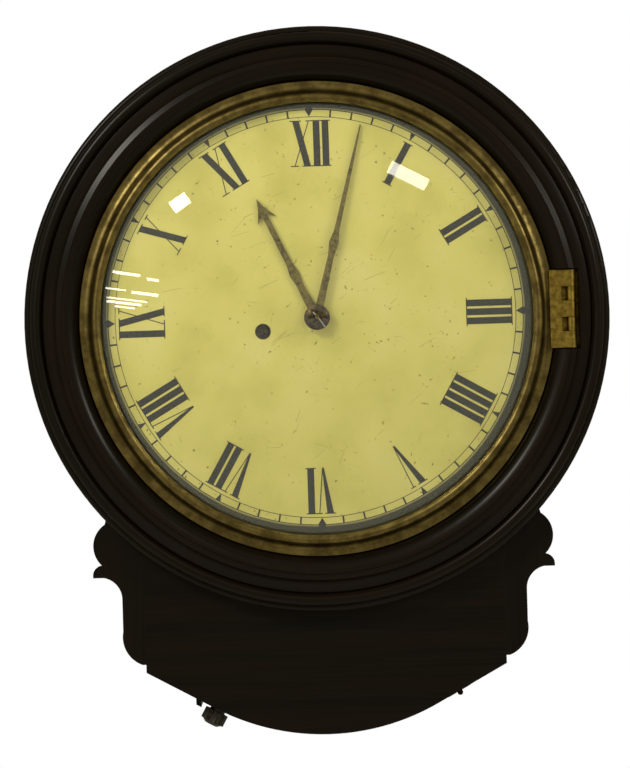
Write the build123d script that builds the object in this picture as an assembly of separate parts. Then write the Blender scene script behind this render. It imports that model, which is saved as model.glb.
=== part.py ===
from build123d import *
import os
from math import acos, asin, cos, degrees, hypot, pi, radians, sin, sqrt, tan

# Drop dial wall clock. Lengths are millimetres. The origin is on the dial's axis, on the wall face of the
# backboard. +X is to the right seen from the front, +Z is up and the front faces -Y. A depth is a distance
# in front of the wall, so a point at depth d has y = -d.

# General clearances
running_gap = 0.08          # shaft in its hole, on the radius
joint_gap = 0.3             # between pieces that move past each other
wood_gap = 0.4              # round a door in its opening
seat_gap = 0.05             # between pieces that rest on each other on a curve

# Box behind the dial, with the drop below it
case_half_width = 126
case_top = 128              # height of the top board above the dial's axis
backboard_thickness = 9
cheek_thickness = 12
top_board_thickness = 12
slat_thickness = 9
front_board_thickness = 12
surround_seat = 89          # depth of the face that the surround sits on
front_board_top = -95       # hidden behind the surround
bottom_radius = 162         # of the curved underside
bottom_drop = 290.5         # lowest point of the underside, below the dial's axis
bottom_arc_half = 78        # half the width of the arc, which runs out into straight lines
bottom_door_half = 92.5
bottom_lip = 4.5            # finger lip at the free end of the bottom door
bottom_lip_width = 3.5

# Fretted ears beside the drop
ear_top = -118
ear_bulge_x = case_half_width + 16.5
ear_bulge_z = -155
ear_bulge_radius = 18.3
ear_tongue_x = case_half_width + 35.5
ear_tongue_z = -177
ear_side_x = case_half_width + 15.5
ear_cove_radius = 16
ear_side_bottom = -215
ear_bottom_x = case_half_width + 2.5
ear_bottom = -238.5

# Turned surround: radii from the dial's axis, heights above its back face
surround_radius = 204
surround_bore = 112         # the box covers it from behind
ledge_height = 18           # the dial's ledge
dial_rebate_radius = 158.4
bezel_seat_height = 19.8
bezel_rebate_radius = 165.6
surround_peak_radius = 177
surround_peak_height = 31

# Dial
dial_radius = 158
dial_thickness = 1.2
dome_radius = 147           # where the flat rim ends and the dome starts
dome_rise = 8
dial_hole_radius = 5.5
winding_x = -37.7
winding_z = -8.1

# Bezel and glass
bezel_radius = 165
bezel_inner_radius = 150.4
bezel_rise = 11             # bead above the bezel's back face
lip_rise = 3.5
glass_radius = 153
glass_ball_radius = 650     # of the front of the convex glass
glass_thickness = 2
glass_seat_rise = 6.2       # underside of the bead, which the glass rests against

# Bezel hinge
hinge_axis_x = 176.8
hinge_barrel_radius = 3
hinge_pin_radius = 1.25
hinge_top = 29
hinge_bottom = -25
hinge_leaf_thickness = 1.6
hinge_leaf_inner = 162
fixed_knuckle_length = 9.7
leaf_slot = 3.6             # slot in the moving leaf beside each fixed knuckle

# Movement plates and depths
plate_half_width = 74
plate_top = 72
plate_bottom = -64
plate_thickness = 2.5
back_plate_depth = 44
plate_gap = 46
pillar_x = 66
pillar_top_z = 64
pillar_bottom_z = -56
pillar_radius = 4.5
foot_x = 52
foot_top_z = 58
foot_bottom_z = -48
foot_radius = 3.5

# Going train: teeth, and where the arbors stand
great_teeth = 96
centre_leaves = 8
centre_teeth = 84
third_leaves = 7
third_teeth = 70
escape_leaves = 7
escape_teeth = 30
escape_radius = 15
third_module = 0.5
centre_module = 0.62
third_angle = 59            # direction of the third arbor from the centre arbor, in degrees
wheel_thickness = 1.6
arbor_radius = 1.1
pivot_radius = 0.8

# Motion work
cannon_teeth = 24
minute_teeth = 48
minute_leaves = 8
hour_teeth = 48
minute_distance = 22.4      # from the centre to the minute wheel's stud
minute_angle = -45

# Fusee and barrel
fusee_large_radius = 20
fusee_small_radius = 9
fusee_length = 28
fusee_turns = 4             # grooves shown on the cone
barrel_x = 36
barrel_z = -30
barrel_radius = 26
barrel_length = 30
barrel_rim = 1.8
gut_radius = 1.1
winding_square = 5.2

# Pendulum
pendulum_depth = 26
bob_radius = 37.5
bob_thickness = 18
bob_z = -188
rod_radius = 2
rod_bottom = -242
nut_radius = 7
nut_notches = 14
swing_deg = 3

# Hands
hour_hand_length = 93
minute_hand_length = 138
hour_hand_deg = -25.4       # from twelve o'clock, clockwise positive
minute_hand_deg = 14.2
hand_thickness = 1.0
collet_radius = 9

# Bottom door's knob
knob_x = -76.5
knob_depth = 60
knob_radius = 8.5
knob_length = 13
knob_reeds = 18

# Side door in the right cheek
side_door_back = 18
side_door_front = 72
side_door_bottom = -60
side_door_top = 50

# Hanging plate
hanging_hole_radius = 4
hanging_hole_z = 140
hanging_plate_half_width = 20
hanging_plate_bottom = 96
hanging_plate_thickness = 2

# Depths worked out from the sizes above
board_back = surround_seat - front_board_thickness
ledge = surround_seat + ledge_height
bezel_seat = surround_seat + bezel_seat_height
front_plate_depth = back_plate_depth + plate_thickness + plate_gap
movement_front = front_plate_depth + plate_thickness
dial_rim = ledge + dial_thickness
dial_centre = dial_rim + dome_rise
dial_ball_radius = (dome_radius**2 + dome_rise**2) / (2 * dome_rise)

# The straight runs of the underside touch its arc at this angle from straight down
bottom_angle = asin(bottom_arc_half / bottom_radius)
bottom_centre = bottom_radius - bottom_drop

# Seen from the front, and the half section of a turned piece: radius across, depth forward
FRONT = Plane.XZ
TURNING = Plane(origin=(0, 0, 0), x_dir=(1, 0, 0), z_dir=(0, 0, -1))


def bounded(*lines):
    """A flat face inside lines that join end to end."""
    return make_face([edge for line in lines for edge in line.edges()])


def slab(sketch, back, front):
    """A flat outline seen from the front, between two depths."""
    return extrude(FRONT.offset(back) * sketch, amount=front - back)


def disc(radius, back, front, x=0, z=0):
    """A round bar along the depth."""
    return Pos(x, 0, z) * slab(Circle(radius), back, front)


def tube(outer, inner, back, front, x=0, z=0):
    """A round tube along the depth."""
    return Pos(x, 0, z) * slab(Circle(outer) - Circle(inner), back, front)


def turned(*lines):
    """A piece turned on the depth axis from half its section."""
    return revolve(TURNING * bounded(*lines), Axis.Y)


def block(x0, x1, back, front, z0, z1):
    """A plain board, from its faces."""
    middle = ((x0 + x1) / 2, -(back + front) / 2, (z0 + z1) / 2)
    return Pos(*middle) * Box(x1 - x0, front - back, z1 - z0)


def strip(x0, x1, z0=-400, z1=400):
    """A rectangle seen from the front, used to cut outlines."""
    return Pos((x0 + x1) / 2, (z0 + z1) / 2) * Rectangle(x1 - x0, z1 - z0)


def both_sides(shape):
    """The shape and its mirror image about the clock's middle, as a group."""
    return group([shape, mirror(shape, Plane.YZ)])


def flat(points):
    """A face inside corner points, whichever way round they are listed."""
    area = sum(x0 * y1 - x1 * y0 for (x0, y0), (x1, y1) in zip(points, points[1:] + points[:1]))
    return Polygon(*(points if area > 0 else points[::-1]), align=None)


def star(outer, inner, ridges):
    """A round outline with ridges, for reeded and milled edges."""
    points = []
    for n in range(2 * ridges):
        radius = outer if n % 2 else inner
        points.append((radius * cos(pi * n / ridges), radius * sin(pi * n / ridges)))
    return flat(points)


def group(shapes):
    """Separate solids kept together in one node."""
    return Compound(children=[solid for shape in shapes for solid in shape.solids()])


# Case


def trunk_outline(side=0, top=0, bottom=0):
    """The box seen from the front, set in from its outer faces."""
    half = case_half_width - side
    radius = bottom_radius - bottom
    touch_x = radius * sin(bottom_angle)
    touch_z = bottom_centre - radius * cos(bottom_angle)
    corner_z = touch_z + (half - touch_x) * tan(bottom_angle)
    roof = case_top - top
    sides = Polyline(
        (touch_x, touch_z), (half, corner_z), (half, roof), (-half, roof), (-half, corner_z), (-touch_x, touch_z)
    )
    arc = ThreePointArc((-touch_x, touch_z), (0, bottom_centre - radius), (touch_x, touch_z))
    return bounded(sides, arc)


def underside(x):
    """Height of the straight part of the underside at x."""
    touch_z = bottom_centre - bottom_radius * cos(bottom_angle)
    return touch_z + (abs(x) - bottom_arc_half) * tan(bottom_angle)


def make_backboard():
    """The board against the wall, let in for the hanging plate."""
    board = slab(trunk_outline(), 0, backboard_thickness)
    width = hanging_plate_half_width + seat_gap
    recess = block(-width, width, 0, hanging_plate_thickness, hanging_plate_bottom, case_top)
    return board - recess


def make_cheek():
    """The right side board, lapped at the front for the drop's front board."""
    inner = case_half_width - cheek_thickness
    outline = trunk_outline(0, top_board_thickness, slat_thickness) & strip(inner, case_half_width)
    board = slab(outline, backboard_thickness, surround_seat)
    lap = block(inner, case_half_width, board_back, surround_seat, -400, front_board_top)
    return board - lap - peg_holes()


def make_side_door_opening():
    """The opening that the side door closes."""
    inner = case_half_width - cheek_thickness
    return block(inner, case_half_width, side_door_back, side_door_front, side_door_bottom, side_door_top)


def make_case_top():
    """The top board, over both cheeks."""
    low = case_top - top_board_thickness
    return block(-case_half_width, case_half_width, backboard_thickness, surround_seat, low, case_top)


def make_front_board():
    """The drop's front, with its curved lower edge."""
    outline = trunk_outline() & strip(-case_half_width, case_half_width, -400, front_board_top)
    return slab(outline, board_back, surround_seat)


def underside_band():
    """The curved thickness of the underside, seen from the front."""
    return trunk_outline() - trunk_outline(0, 0, slat_thickness)


def make_bottom_slats():
    """The fixed end pieces of the underside, one at each side of the door."""
    outline = underside_band() & strip(bottom_door_half, case_half_width)
    return both_sides(slab(outline, backboard_thickness, board_back))


def make_bottom_door():
    """The curved door in the underside, with its lip and the hole for the knob's spindle."""
    back = backboard_thickness + joint_gap
    front = board_back - joint_gap
    free_end = -bottom_door_half + wood_gap
    door = slab(underside_band() & strip(free_end, bottom_door_half - wood_gap), back, front)
    lip_outline = trunk_outline(0, 0, -bottom_lip) - trunk_outline(0, 0, slat_thickness / 2)
    lip = slab(lip_outline & strip(free_end, free_end + bottom_lip_width), back, front)
    hole = knob_plane() * Cylinder(spindle_radius + running_gap, 4 * slat_thickness)
    return door + lip - hole


def ear_outline():
    """The fretted ear at the right, seen from the front."""
    bulge = [
        (ear_bulge_x + ear_bulge_radius * cos(angle), ear_bulge_z + ear_bulge_radius * sin(angle))
        for angle in (radians(57), 0, radians(-47))
    ]
    shoulder = (ear_bulge_x + 4, ear_top)
    notch = bulge[2]
    tip = (ear_tongue_x, ear_tongue_z + 1.5)
    tongue_mid = ((notch[0] + tip[0]) / 2 + 1.4, (notch[1] + tip[1]) / 2 + 1.4)
    cove_start = (ear_side_x + 12.5, ear_tongue_z)
    cove_end = (ear_side_x, ear_tongue_z - 15)
    cove_centre = (ear_side_x + ear_cove_radius - 0.2, ear_tongue_z - 15.6)
    cove_mid = (
        cove_centre[0] - ear_cove_radius * cos(radians(48)),
        cove_centre[1] + ear_cove_radius * sin(radians(48)),
    )
    corner_x = ear_bottom_x + (ear_side_x - ear_bottom_x) * cos(radians(45))
    corner_z = ear_side_bottom - (ear_side_bottom - ear_bottom) * sin(radians(45))
    return bounded(
        Polyline((case_half_width, ear_top), shoulder, bulge[0]),
        ThreePointArc(*bulge),
        ThreePointArc(notch, tongue_mid, tip),
        Polyline(tip, (ear_tongue_x, ear_tongue_z), cove_start),
        ThreePointArc(cove_start, cove_mid, cove_end),
        Line(cove_end, (ear_side_x, ear_side_bottom)),
        ThreePointArc((ear_side_x, ear_side_bottom), (corner_x, corner_z), (ear_bottom_x, ear_bottom)),
        Polyline((ear_bottom_x, ear_bottom), (case_half_width, ear_bottom), (case_half_width, ear_top)),
    )


def make_ear():
    """The right ear, glued to the cheek, flush with the front board."""
    return slab(ear_outline(), board_back, surround_seat)


peg_heights = (88, -88)
peg_depth = surround_seat - 14
peg_radius = 3.5
lug_thickness = 14
lug_half_height = 16
lug_depth = 28


def peg(x0, x1, radius, z):
    """A round bar through the right cheek, along X."""
    bar = Rot(0, 90, 0) * Cylinder(radius, x1 - x0)
    return Pos((x0 + x1) / 2, -peg_depth, z) * bar


def peg_holes():
    """The holes for the surround's pegs in the right cheek."""
    inner = case_half_width - cheek_thickness
    outer = case_half_width + lug_thickness + 1
    return [peg(inner - 1, outer, peg_radius + running_gap, z) for z in peg_heights]


def make_wood_blocks():
    """Four lugs behind the surround, each with the peg that holds it to the cheek, and glue blocks in the drop."""
    inner = case_half_width - cheek_thickness
    outer = case_half_width + lug_thickness
    pieces = []
    for z in peg_heights:
        lug = block(
            case_half_width + joint_gap, outer, surround_seat - lug_depth, surround_seat,
            z - lug_half_height, z + lug_half_height,
        )
        pieces.append(lug + peg(inner - 4, outer + 6, peg_radius, z))
    for z in (-125, -200):
        corner = Polyline((0, 0), (-18, 0), (0, 18), close=True)
        glue = extrude(Plane.XY * make_face(corner.edges()), amount=50)
        pieces.append(Pos(inner, -board_back, z - 25) * glue)
    return both_sides(group(pieces))


def make_hanging_plate():
    """The plate that hangs the clock on its wall screw, let into the backboard."""
    top = hanging_hole_z + 14
    neck = hanging_plate_half_width
    corner = 8
    outline = strip(-neck, neck, hanging_plate_bottom, top)
    outline = fillet(outline.vertices().sort_by(Axis.Y)[-2:], corner) - Pos(0, hanging_hole_z) * Circle(
        hanging_hole_radius
    )
    return slab(outline, 0, hanging_plate_thickness)


# Surround, dial and bezel


def make_surround():
    """The turned ring: an edge bead, a torus, a wide hollow, a crisp arris and an ovolo down to the bezel."""
    back = surround_seat
    peak = back + surround_peak_height
    rim = surround_radius
    bead_in = rim - 3.6
    torus_out = rim - 4.2
    torus_in = rim - 12.6
    hollow_out = rim - 13.4
    hollow_in = surround_peak_radius + 4.6
    arris = surround_peak_radius
    inside = bezel_rebate_radius
    ring = turned(
        Polyline((surround_bore, back), (rim, back), (rim, back + 12.5)),
        ThreePointArc((rim, back + 12.5), (rim - 1.2, back + 14.6), (bead_in, back + 15.2)),
        Line((bead_in, back + 15.2), (torus_out, back + 14.4)),
        ThreePointArc((torus_out, back + 14.4), (rim - 8.3, back + 20.6), (torus_in, back + 16.4)),
        Line((torus_in, back + 16.4), (hollow_out, back + 18.4)),
        ThreePointArc((hollow_out, back + 18.4), (rim - 18.4, back + 22.0), (hollow_in, back + 27.6)),
        Polyline((hollow_in, back + 27.6), (arris + 1, back + 29), (arris + 0.4, peak), (arris - 0.6, peak)),
        ThreePointArc((arris - 0.6, peak), (inside + 3.3, peak - 3.2), (inside, bezel_seat)),
        Polyline(
            (inside, bezel_seat), (dial_rebate_radius, bezel_seat), (dial_rebate_radius, ledge),
            (surround_bore, ledge), (surround_bore, back),
        ),
    )
    mortise = block(
        hinge_leaf_inner - 2, hinge_leaf_outer + seat_gap, hinge_leaf_depth, peak + 5,
        hinge_bottom - 1, hinge_top + 1,
    )
    return ring - mortise


def dome_depth(radius, ball, crown):
    """Depth of a dome at a radius, from its ball radius and the depth of its crown."""
    return crown - ball + sqrt(ball**2 - radius**2)


def dome_arc(inner, outer, ball, crown):
    """The arc of a dome's section between two radii."""
    middle = (inner + outer) / 2
    return ThreePointArc(
        (inner, dome_depth(inner, ball, crown)),
        (middle, dome_depth(middle, ball, crown)),
        (outer, dome_depth(outer, ball, crown)),
    )


def dial_back(radius):
    """Depth of the back of the dial's dome."""
    return dome_depth(radius, dial_ball_radius, dial_centre) - dial_thickness


def make_dial():
    """The domed iron dial with its flat rim, hand hole, winding hole and screw holes."""
    front = dome_arc(dial_hole_radius, dome_radius, dial_ball_radius, dial_centre)
    back = dome_arc(dial_hole_radius, dome_radius, dial_ball_radius, dial_centre - dial_thickness)
    dial = turned(
        front,
        Polyline((dome_radius, dial_rim), (dial_radius, dial_rim), (dial_radius, ledge), (dome_radius, ledge)),
        back,
        Line((dial_hole_radius, dial_back(dial_hole_radius)), front @ 0),
    )
    return dial - disc(dial_hole_radius, ledge, dial_centre + 1, winding_x, winding_z)


def foot_places():
    """The four dial feet."""
    return [(x, z) for x in (-foot_x, foot_x) for z in (foot_bottom_z, foot_top_z)]


def make_dial_feet():
    """Four pillars between the front plate and the back of the dial."""
    feet = []
    for x, z in foot_places():
        feet.append(disc(foot_radius, movement_front, dial_back(hypot(x, z) + foot_radius), x, z))
    return group(feet)


def make_bezel():
    """The cast brass ring: lip, cove and bead in front, with a rebate for the glass behind."""
    back = bezel_seat
    outer = bezel_radius
    inner = bezel_inner_radius
    lip = back + lip_rise
    under = back + glass_seat_rise
    wall = glass_radius + joint_gap
    cove_in = outer - 8
    return turned(
        Polyline((wall, back), (outer, back), (outer, lip), (outer - 3, lip)),
        ThreePointArc((outer - 3, lip), (outer - 6.6, lip + 1.6), (cove_in, back + 8.2)),
        ThreePointArc((cove_in, back + 8.2), ((inner + cove_in) / 2, back + bezel_rise), (inner, back + 8)),
        Polyline((inner, back + 8), (inner, under), (wall, under), (wall, back)),
    )


glass_crown = bezel_seat + glass_seat_rise + glass_ball_radius - sqrt(glass_ball_radius**2 - bezel_inner_radius**2)


def glass_front(radius):
    """Depth of the front of the glass."""
    return dome_depth(radius, glass_ball_radius, glass_crown - seat_gap)


def glass_back(radius):
    """Depth of the back of the glass."""
    return dome_depth(radius, glass_ball_radius - glass_thickness, glass_crown - seat_gap - glass_thickness)


def make_glass():
    """The convex glass, a slice of a thin ball."""
    crown = glass_crown - seat_gap
    rim = glass_radius
    half = rim / 2
    return turned(
        ThreePointArc((0, crown), (half, glass_front(half)), (rim, glass_front(rim))),
        Line((rim, glass_front(rim)), (rim, glass_back(rim))),
        ThreePointArc((rim, glass_back(rim)), (half, glass_back(half)), (0, crown - glass_thickness)),
        Line((0, crown - glass_thickness), (0, crown)),
    )


def make_putty():
    """The fillet of plaster that holds the glass in the bezel."""
    wall = glass_radius + joint_gap - seat_gap
    inner = glass_radius - 2.2
    top = glass_back(wall) - seat_gap
    return turned(
        Polyline(
            (wall, top), (wall, bezel_seat + 1.4), (inner, glass_back(inner) - seat_gap), (wall, top),
        )
    )


# Bezel hinge: three knuckles on the bezel's leaf and two on the case's leaf
hinge_barrel_depth = bezel_seat + hinge_barrel_radius + 0.2
hinge_leaf_depth = bezel_seat - 0.3 - hinge_leaf_thickness
hinge_leaf_outer = hinge_axis_x + 5.7
moving_knuckle_length = (hinge_top - hinge_bottom - 2 * fixed_knuckle_length) / 3


def fixed_knuckle_spans():
    """The heights that the two fixed knuckles take, from the bottom up."""
    low = hinge_bottom + moving_knuckle_length
    high = low + fixed_knuckle_length + moving_knuckle_length
    return [(low, low + fixed_knuckle_length), (high, high + fixed_knuckle_length)]


def upright(radius, z0, z1, x=hinge_axis_x, depth=hinge_barrel_depth):
    """A round bar along Z."""
    return Pos(x, -depth, (z0 + z1) / 2) * Cylinder(radius, z1 - z0)


def make_case_hinge_leaf():
    """The leaf let into the surround, with its two knuckles."""
    top = hinge_leaf_depth + hinge_leaf_thickness
    leaf = block(bezel_rebate_radius + 0.6, hinge_leaf_outer, hinge_leaf_depth, top, hinge_bottom, hinge_top)
    for low, high in fixed_knuckle_spans():
        low += joint_gap / 2
        high -= joint_gap / 2
        half = hinge_barrel_radius
        leaf += block(hinge_axis_x - half, hinge_axis_x + half, top, hinge_barrel_depth, low, high)
        leaf += upright(hinge_barrel_radius, low, high)
    return leaf + upright(hinge_pin_radius, hinge_bottom, hinge_top)


def make_bezel_hinge_leaf():
    """The leaf on the bezel's lip: a flat plate with three knuckles, slotted beside the fixed ones."""
    back = bezel_seat + lip_rise + seat_gap
    front = hinge_barrel_depth + hinge_barrel_radius
    leaf = block(hinge_leaf_inner, hinge_axis_x, back, front, hinge_bottom, hinge_top)
    leaf += upright(hinge_barrel_radius, hinge_bottom, hinge_top)
    for low, high in fixed_knuckle_spans():
        slot_inner = hinge_axis_x - hinge_barrel_radius - leaf_slot
        leaf -= block(
            slot_inner, hinge_axis_x + 10, hinge_leaf_depth, front + 5, low - joint_gap / 2, high + joint_gap / 2,
        )
    return leaf - upright(hinge_pin_radius + running_gap, hinge_bottom - 1, hinge_top + 1)


# Hinges of the doors: the axis is the local Z, the moving side is the local +X and the wood is at local +Y
butt_barrel_radius = 2
butt_leaf_thickness = 1.2
butt_leaf_width = 9
butt_seat = butt_barrel_radius + 0.1


def butt_leaf(side, length, spans):
    """One leaf of a butt hinge, on one side of the axis, with its knuckles over the given spans."""
    inner = butt_barrel_radius + 0.4
    middle_y = butt_seat - butt_leaf_thickness / 2
    width = butt_leaf_width - inner
    leaf = Pos(side * (inner + width / 2), middle_y, 0) * Box(width, butt_leaf_thickness, length)
    for low, high in spans:
        middle = (low + high) / 2
        leaf += Pos(side * inner / 2, middle_y, middle) * Box(inner, butt_leaf_thickness, high - low)
        leaf += Pos(0, 0, middle) * Cylinder(butt_barrel_radius, high - low)
    return leaf


def butt_hinge(length):
    """The fixed and the moving leaf of a small brass butt hinge."""
    third = length / 6
    gap = joint_gap / 2
    fixed = butt_leaf(-1, length, [(-3 * third, -third - gap), (third + gap, 3 * third)])
    moving = butt_leaf(1, length, [(-third + gap, third - gap)])
    return fixed, moving


def side_hinge_planes():
    """Where the side door's two hinges are."""
    return [
        Plane(
            origin=(case_half_width + butt_seat, -side_door_back - wood_gap / 2, z),
            x_dir=(0, -1, 0),
            z_dir=(0, 0, -1),
        )
        for z in (side_door_bottom + 22, side_door_top - 22)
    ]


def bottom_hinge_planes():
    """Where the bottom door's two hinges are, at its right end."""
    x = bottom_door_half - wood_gap / 2
    z = underside(x)
    out_x = butt_seat * sin(bottom_angle)
    out_z = -butt_seat * cos(bottom_angle)
    return [
        Plane(
            origin=(x + out_x, -depth, z + out_z),
            x_dir=(-cos(bottom_angle), 0, -sin(bottom_angle)),
            z_dir=(0, 1, 0),
        )
        for depth in (backboard_thickness + 14, board_back - 14)
    ]


def fixed_hinges(planes, length):
    """The fixed leaves."""
    fixed = butt_hinge(length)[0]
    return group([plane * fixed for plane in planes])


def moving_hinges(planes, length):
    """The moving leaves."""
    moving = butt_hinge(length)[1]
    return group([plane * moving for plane in planes])


side_hinge_length = 20
bottom_hinge_length = 18


def make_side_door():
    """The side door's panel, with a finger notch at its free edge."""
    inner = case_half_width - cheek_thickness
    door = block(
        inner, case_half_width,
        side_door_back + wood_gap, side_door_front - wood_gap,
        side_door_bottom + wood_gap, side_door_top - wood_gap,
    )
    middle_z = (side_door_bottom + side_door_top) / 2 - 22
    notch = Pos(case_half_width, -(side_door_front - wood_gap), middle_z) * Sphere(6)
    return door - notch


button_depth = side_door_front + 5
button_z = (side_door_bottom + side_door_top) / 2
button_half = 10
button_width = 7
button_thickness = 4
button_screw_radius = 1.5


def button_bar(radius, x0, x1):
    """A round bar on the turn button's axis."""
    return Pos((x0 + x1) / 2, -button_depth, button_z) * Rot(0, 90, 0) * Cylinder(radius, x1 - x0)


def make_button_hole():
    """The hole in the right cheek for the turn button's screw."""
    return button_bar(button_screw_radius + running_gap, case_half_width - 8, case_half_width + 1)


def make_side_door_button():
    """The wooden turn button on its screw in the cheek, upright so that the door is free."""
    screw = button_bar(button_screw_radius, case_half_width - 7, case_half_width + joint_gap + button_thickness)
    plane = Plane(origin=(case_half_width + joint_gap, -button_depth, button_z), x_dir=(0, 0, 1), z_dir=(1, 0, 0))
    return extrude(plane * SlotOverall(2 * button_half, button_width), amount=button_thickness) + screw


# Knob of the bottom door
spindle_radius = 2.5
latch_length = 24
latch_width = 8
latch_thickness = 3


def knob_plane():
    """The plane on the underside at the knob, facing out of the case; its local X runs towards the wall."""
    return Plane(
        origin=(knob_x, -knob_depth, underside(knob_x)),
        x_dir=(0, 1, 0),
        z_dir=(-sin(bottom_angle), 0, -cos(bottom_angle)),
    )


def make_knob():
    """The reeded bone knob on its spindle, which goes through the door."""
    drum = extrude(Pos(0, 0, 3) * star(knob_radius, knob_radius - 0.9, knob_reeds), amount=knob_length - 5)
    neck = Pos(0, 0, joint_gap) * Cylinder(knob_radius - 3, 3 - joint_gap, align=(Align.CENTER, Align.CENTER, Align.MIN))
    cap = Pos(0, 0, knob_length - 2) * Cone(knob_radius - 1.2, knob_radius - 4, 2, align=(Align.CENTER, Align.CENTER, Align.MIN))
    inside = slat_thickness + joint_gap + latch_thickness
    spindle = Pos(0, 0, -inside) * Cylinder(spindle_radius, inside + 3, align=(Align.CENTER, Align.CENTER, Align.MIN))
    return knob_plane() * (drum + neck + cap + spindle)


def make_latch():
    """The turn bar inside the door, pinned on the spindle, lying clear of the fixed slat."""
    start = -6
    outline = Pos((start + latch_length) / 2, 0) * SlotOverall(latch_length - start, latch_width) - Circle(
        spindle_radius
    )
    low = -(slat_thickness + joint_gap + latch_thickness)
    return knob_plane() * extrude(Pos(0, 0, low) * outline, amount=latch_thickness)


# Toothed wheels


def toothed(teeth, module, phase, corners):
    """A wheel's outline. A tooth is centred at the phase, in degrees, and each of its corners is given as a
    height from the pitch circle in modules and a place across the tooth in halves of the pitch."""
    pitch = 360 / teeth
    radius = teeth * module / 2
    points = []
    for n in range(teeth):
        for height, across in corners:
            angle = radians(phase + n * pitch + across * pitch / 2)
            points.append(((radius + height * module) * cos(angle), (radius + height * module) * sin(angle)))
    return flat(points)


def wheel_outline(teeth, module, phase):
    """A driving wheel's pointed teeth."""
    return toothed(teeth, module, phase, ((-1.1, -1), (0.9, 0)))


def pinion_outline(leaves, module, phase):
    """A pinion's leaves."""
    return toothed(leaves, module, phase, ((-1.25, -0.34), (0.55, -0.22), (0.55, 0.22), (-1.25, 0.34)))


def in_mesh(direction, phase, teeth, next_teeth):
    """The phase of the next wheel, which lies in that direction, so that a space faces this wheel's tooth."""
    turned_by = (phase - direction) * teeth / 360
    return direction + 180 - (turned_by + 0.5) * 360 / next_teeth


def spoked(outline, radius, hub, back, front, spokes=4, rim=2.6, arm=2.4):
    """A wheel blank crossed out to leave a rim, arms and a hub."""
    blank = slab(outline, back, front)
    window = Circle(radius - rim) - Circle(hub)
    for n in range(spokes):
        window -= Rot(0, 0, n * 360 / spokes) * Pos(radius / 2, 0) * Rectangle(radius, arm)
    return blank - slab(window, back - 1, front + 1)


# Arbor places, seen from the front
winding_direction = 180 + degrees(asin(-winding_z / hypot(winding_x, winding_z)))
winding_distance = hypot(winding_x, winding_z)
great_module = 2 * winding_distance / (great_teeth + centre_leaves)
third_distance = centre_module * (centre_teeth + third_leaves) / 2
third_x = third_distance * cos(radians(third_angle))
third_z = third_distance * sin(radians(third_angle))
escape_distance = third_module * (third_teeth + escape_leaves) / 2
escape_x = 0
escape_z = third_z + sqrt(escape_distance**2 - third_x**2)
escape_direction = 180 - degrees(asin((escape_z - third_z) / escape_distance))
swing_z = escape_z + escape_radius * sqrt(2)
minute_x = minute_distance * cos(radians(minute_angle))
minute_z = minute_distance * sin(radians(minute_angle))
cannon_module = 2 * minute_distance / (cannon_teeth + minute_teeth)
hour_module = 2 * minute_distance / (minute_leaves + hour_teeth)

# Depths of the train between the plates
plate_inside = front_plate_depth
centre_wheel_back = plate_inside - 5
great_wheel_front = plate_inside - 38
great_wheel_back = great_wheel_front - 2.4
third_wheel_back = plate_inside - 30
escape_wheel_back = plate_inside - 35.5
end_shake = 0.3

# Tooth phases, so that every pair is in mesh at rest
centre_pinion_phase = 0
centre_wheel_phase = 0
great_phase = in_mesh(winding_direction, centre_pinion_phase, centre_leaves, great_teeth)
third_pinion_phase = in_mesh(third_angle, centre_wheel_phase, centre_teeth, third_leaves)
third_wheel_phase = 0
escape_pinion_phase = in_mesh(escape_direction, third_wheel_phase, third_teeth, escape_leaves)
cannon_phase = 0
minute_wheel_phase = in_mesh(minute_angle, cannon_phase, cannon_teeth, minute_teeth)
minute_pinion_phase = 0
hour_phase = in_mesh(minute_angle + 180, minute_pinion_phase, minute_leaves, hour_teeth)


def arbor(x, z):
    """A steel arbor that runs in both plates."""
    return disc(arbor_radius, back_plate_depth, movement_front, x, z)


def make_centre_wheel():
    """Centre wheel, its pinion and its long arbor, which carries the hands."""
    wheel = spoked(
        wheel_outline(centre_teeth, centre_module, centre_wheel_phase),
        centre_teeth * centre_module / 2, 5, centre_wheel_back, centre_wheel_back + wheel_thickness,
    )
    pinion = slab(
        pinion_outline(centre_leaves, great_module, centre_pinion_phase), great_wheel_back - 3, great_wheel_front + 2,
    )
    bar = disc(centre_arbor_radius, back_plate_depth, hand_pin_depth + 1.6)
    hole = Pos(0, -hand_pin_depth, 0) * Rot(0, 90 + hand_pin_angle, 0) * Cylinder(hand_pin_radius, 20)
    return wheel + pinion + bar - hole


centre_arbor_radius = 1.4
hand_pin_radius = 0.6


def make_great_wheel():
    """The great wheel behind the fusee, free on its arbor until the clicks catch."""
    wheel = slab(wheel_outline(great_teeth, great_module, great_phase), great_wheel_back, great_wheel_front)
    bore = disc(fusee_arbor_radius + running_gap, great_wheel_back - 5, great_wheel_front + 5)
    collar = disc(fusee_arbor_radius + 3, great_wheel_back - 1.6, great_wheel_back)
    return Pos(winding_x, 0, winding_z) * (wheel + collar - bore)


fusee_arbor_radius = 3


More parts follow.
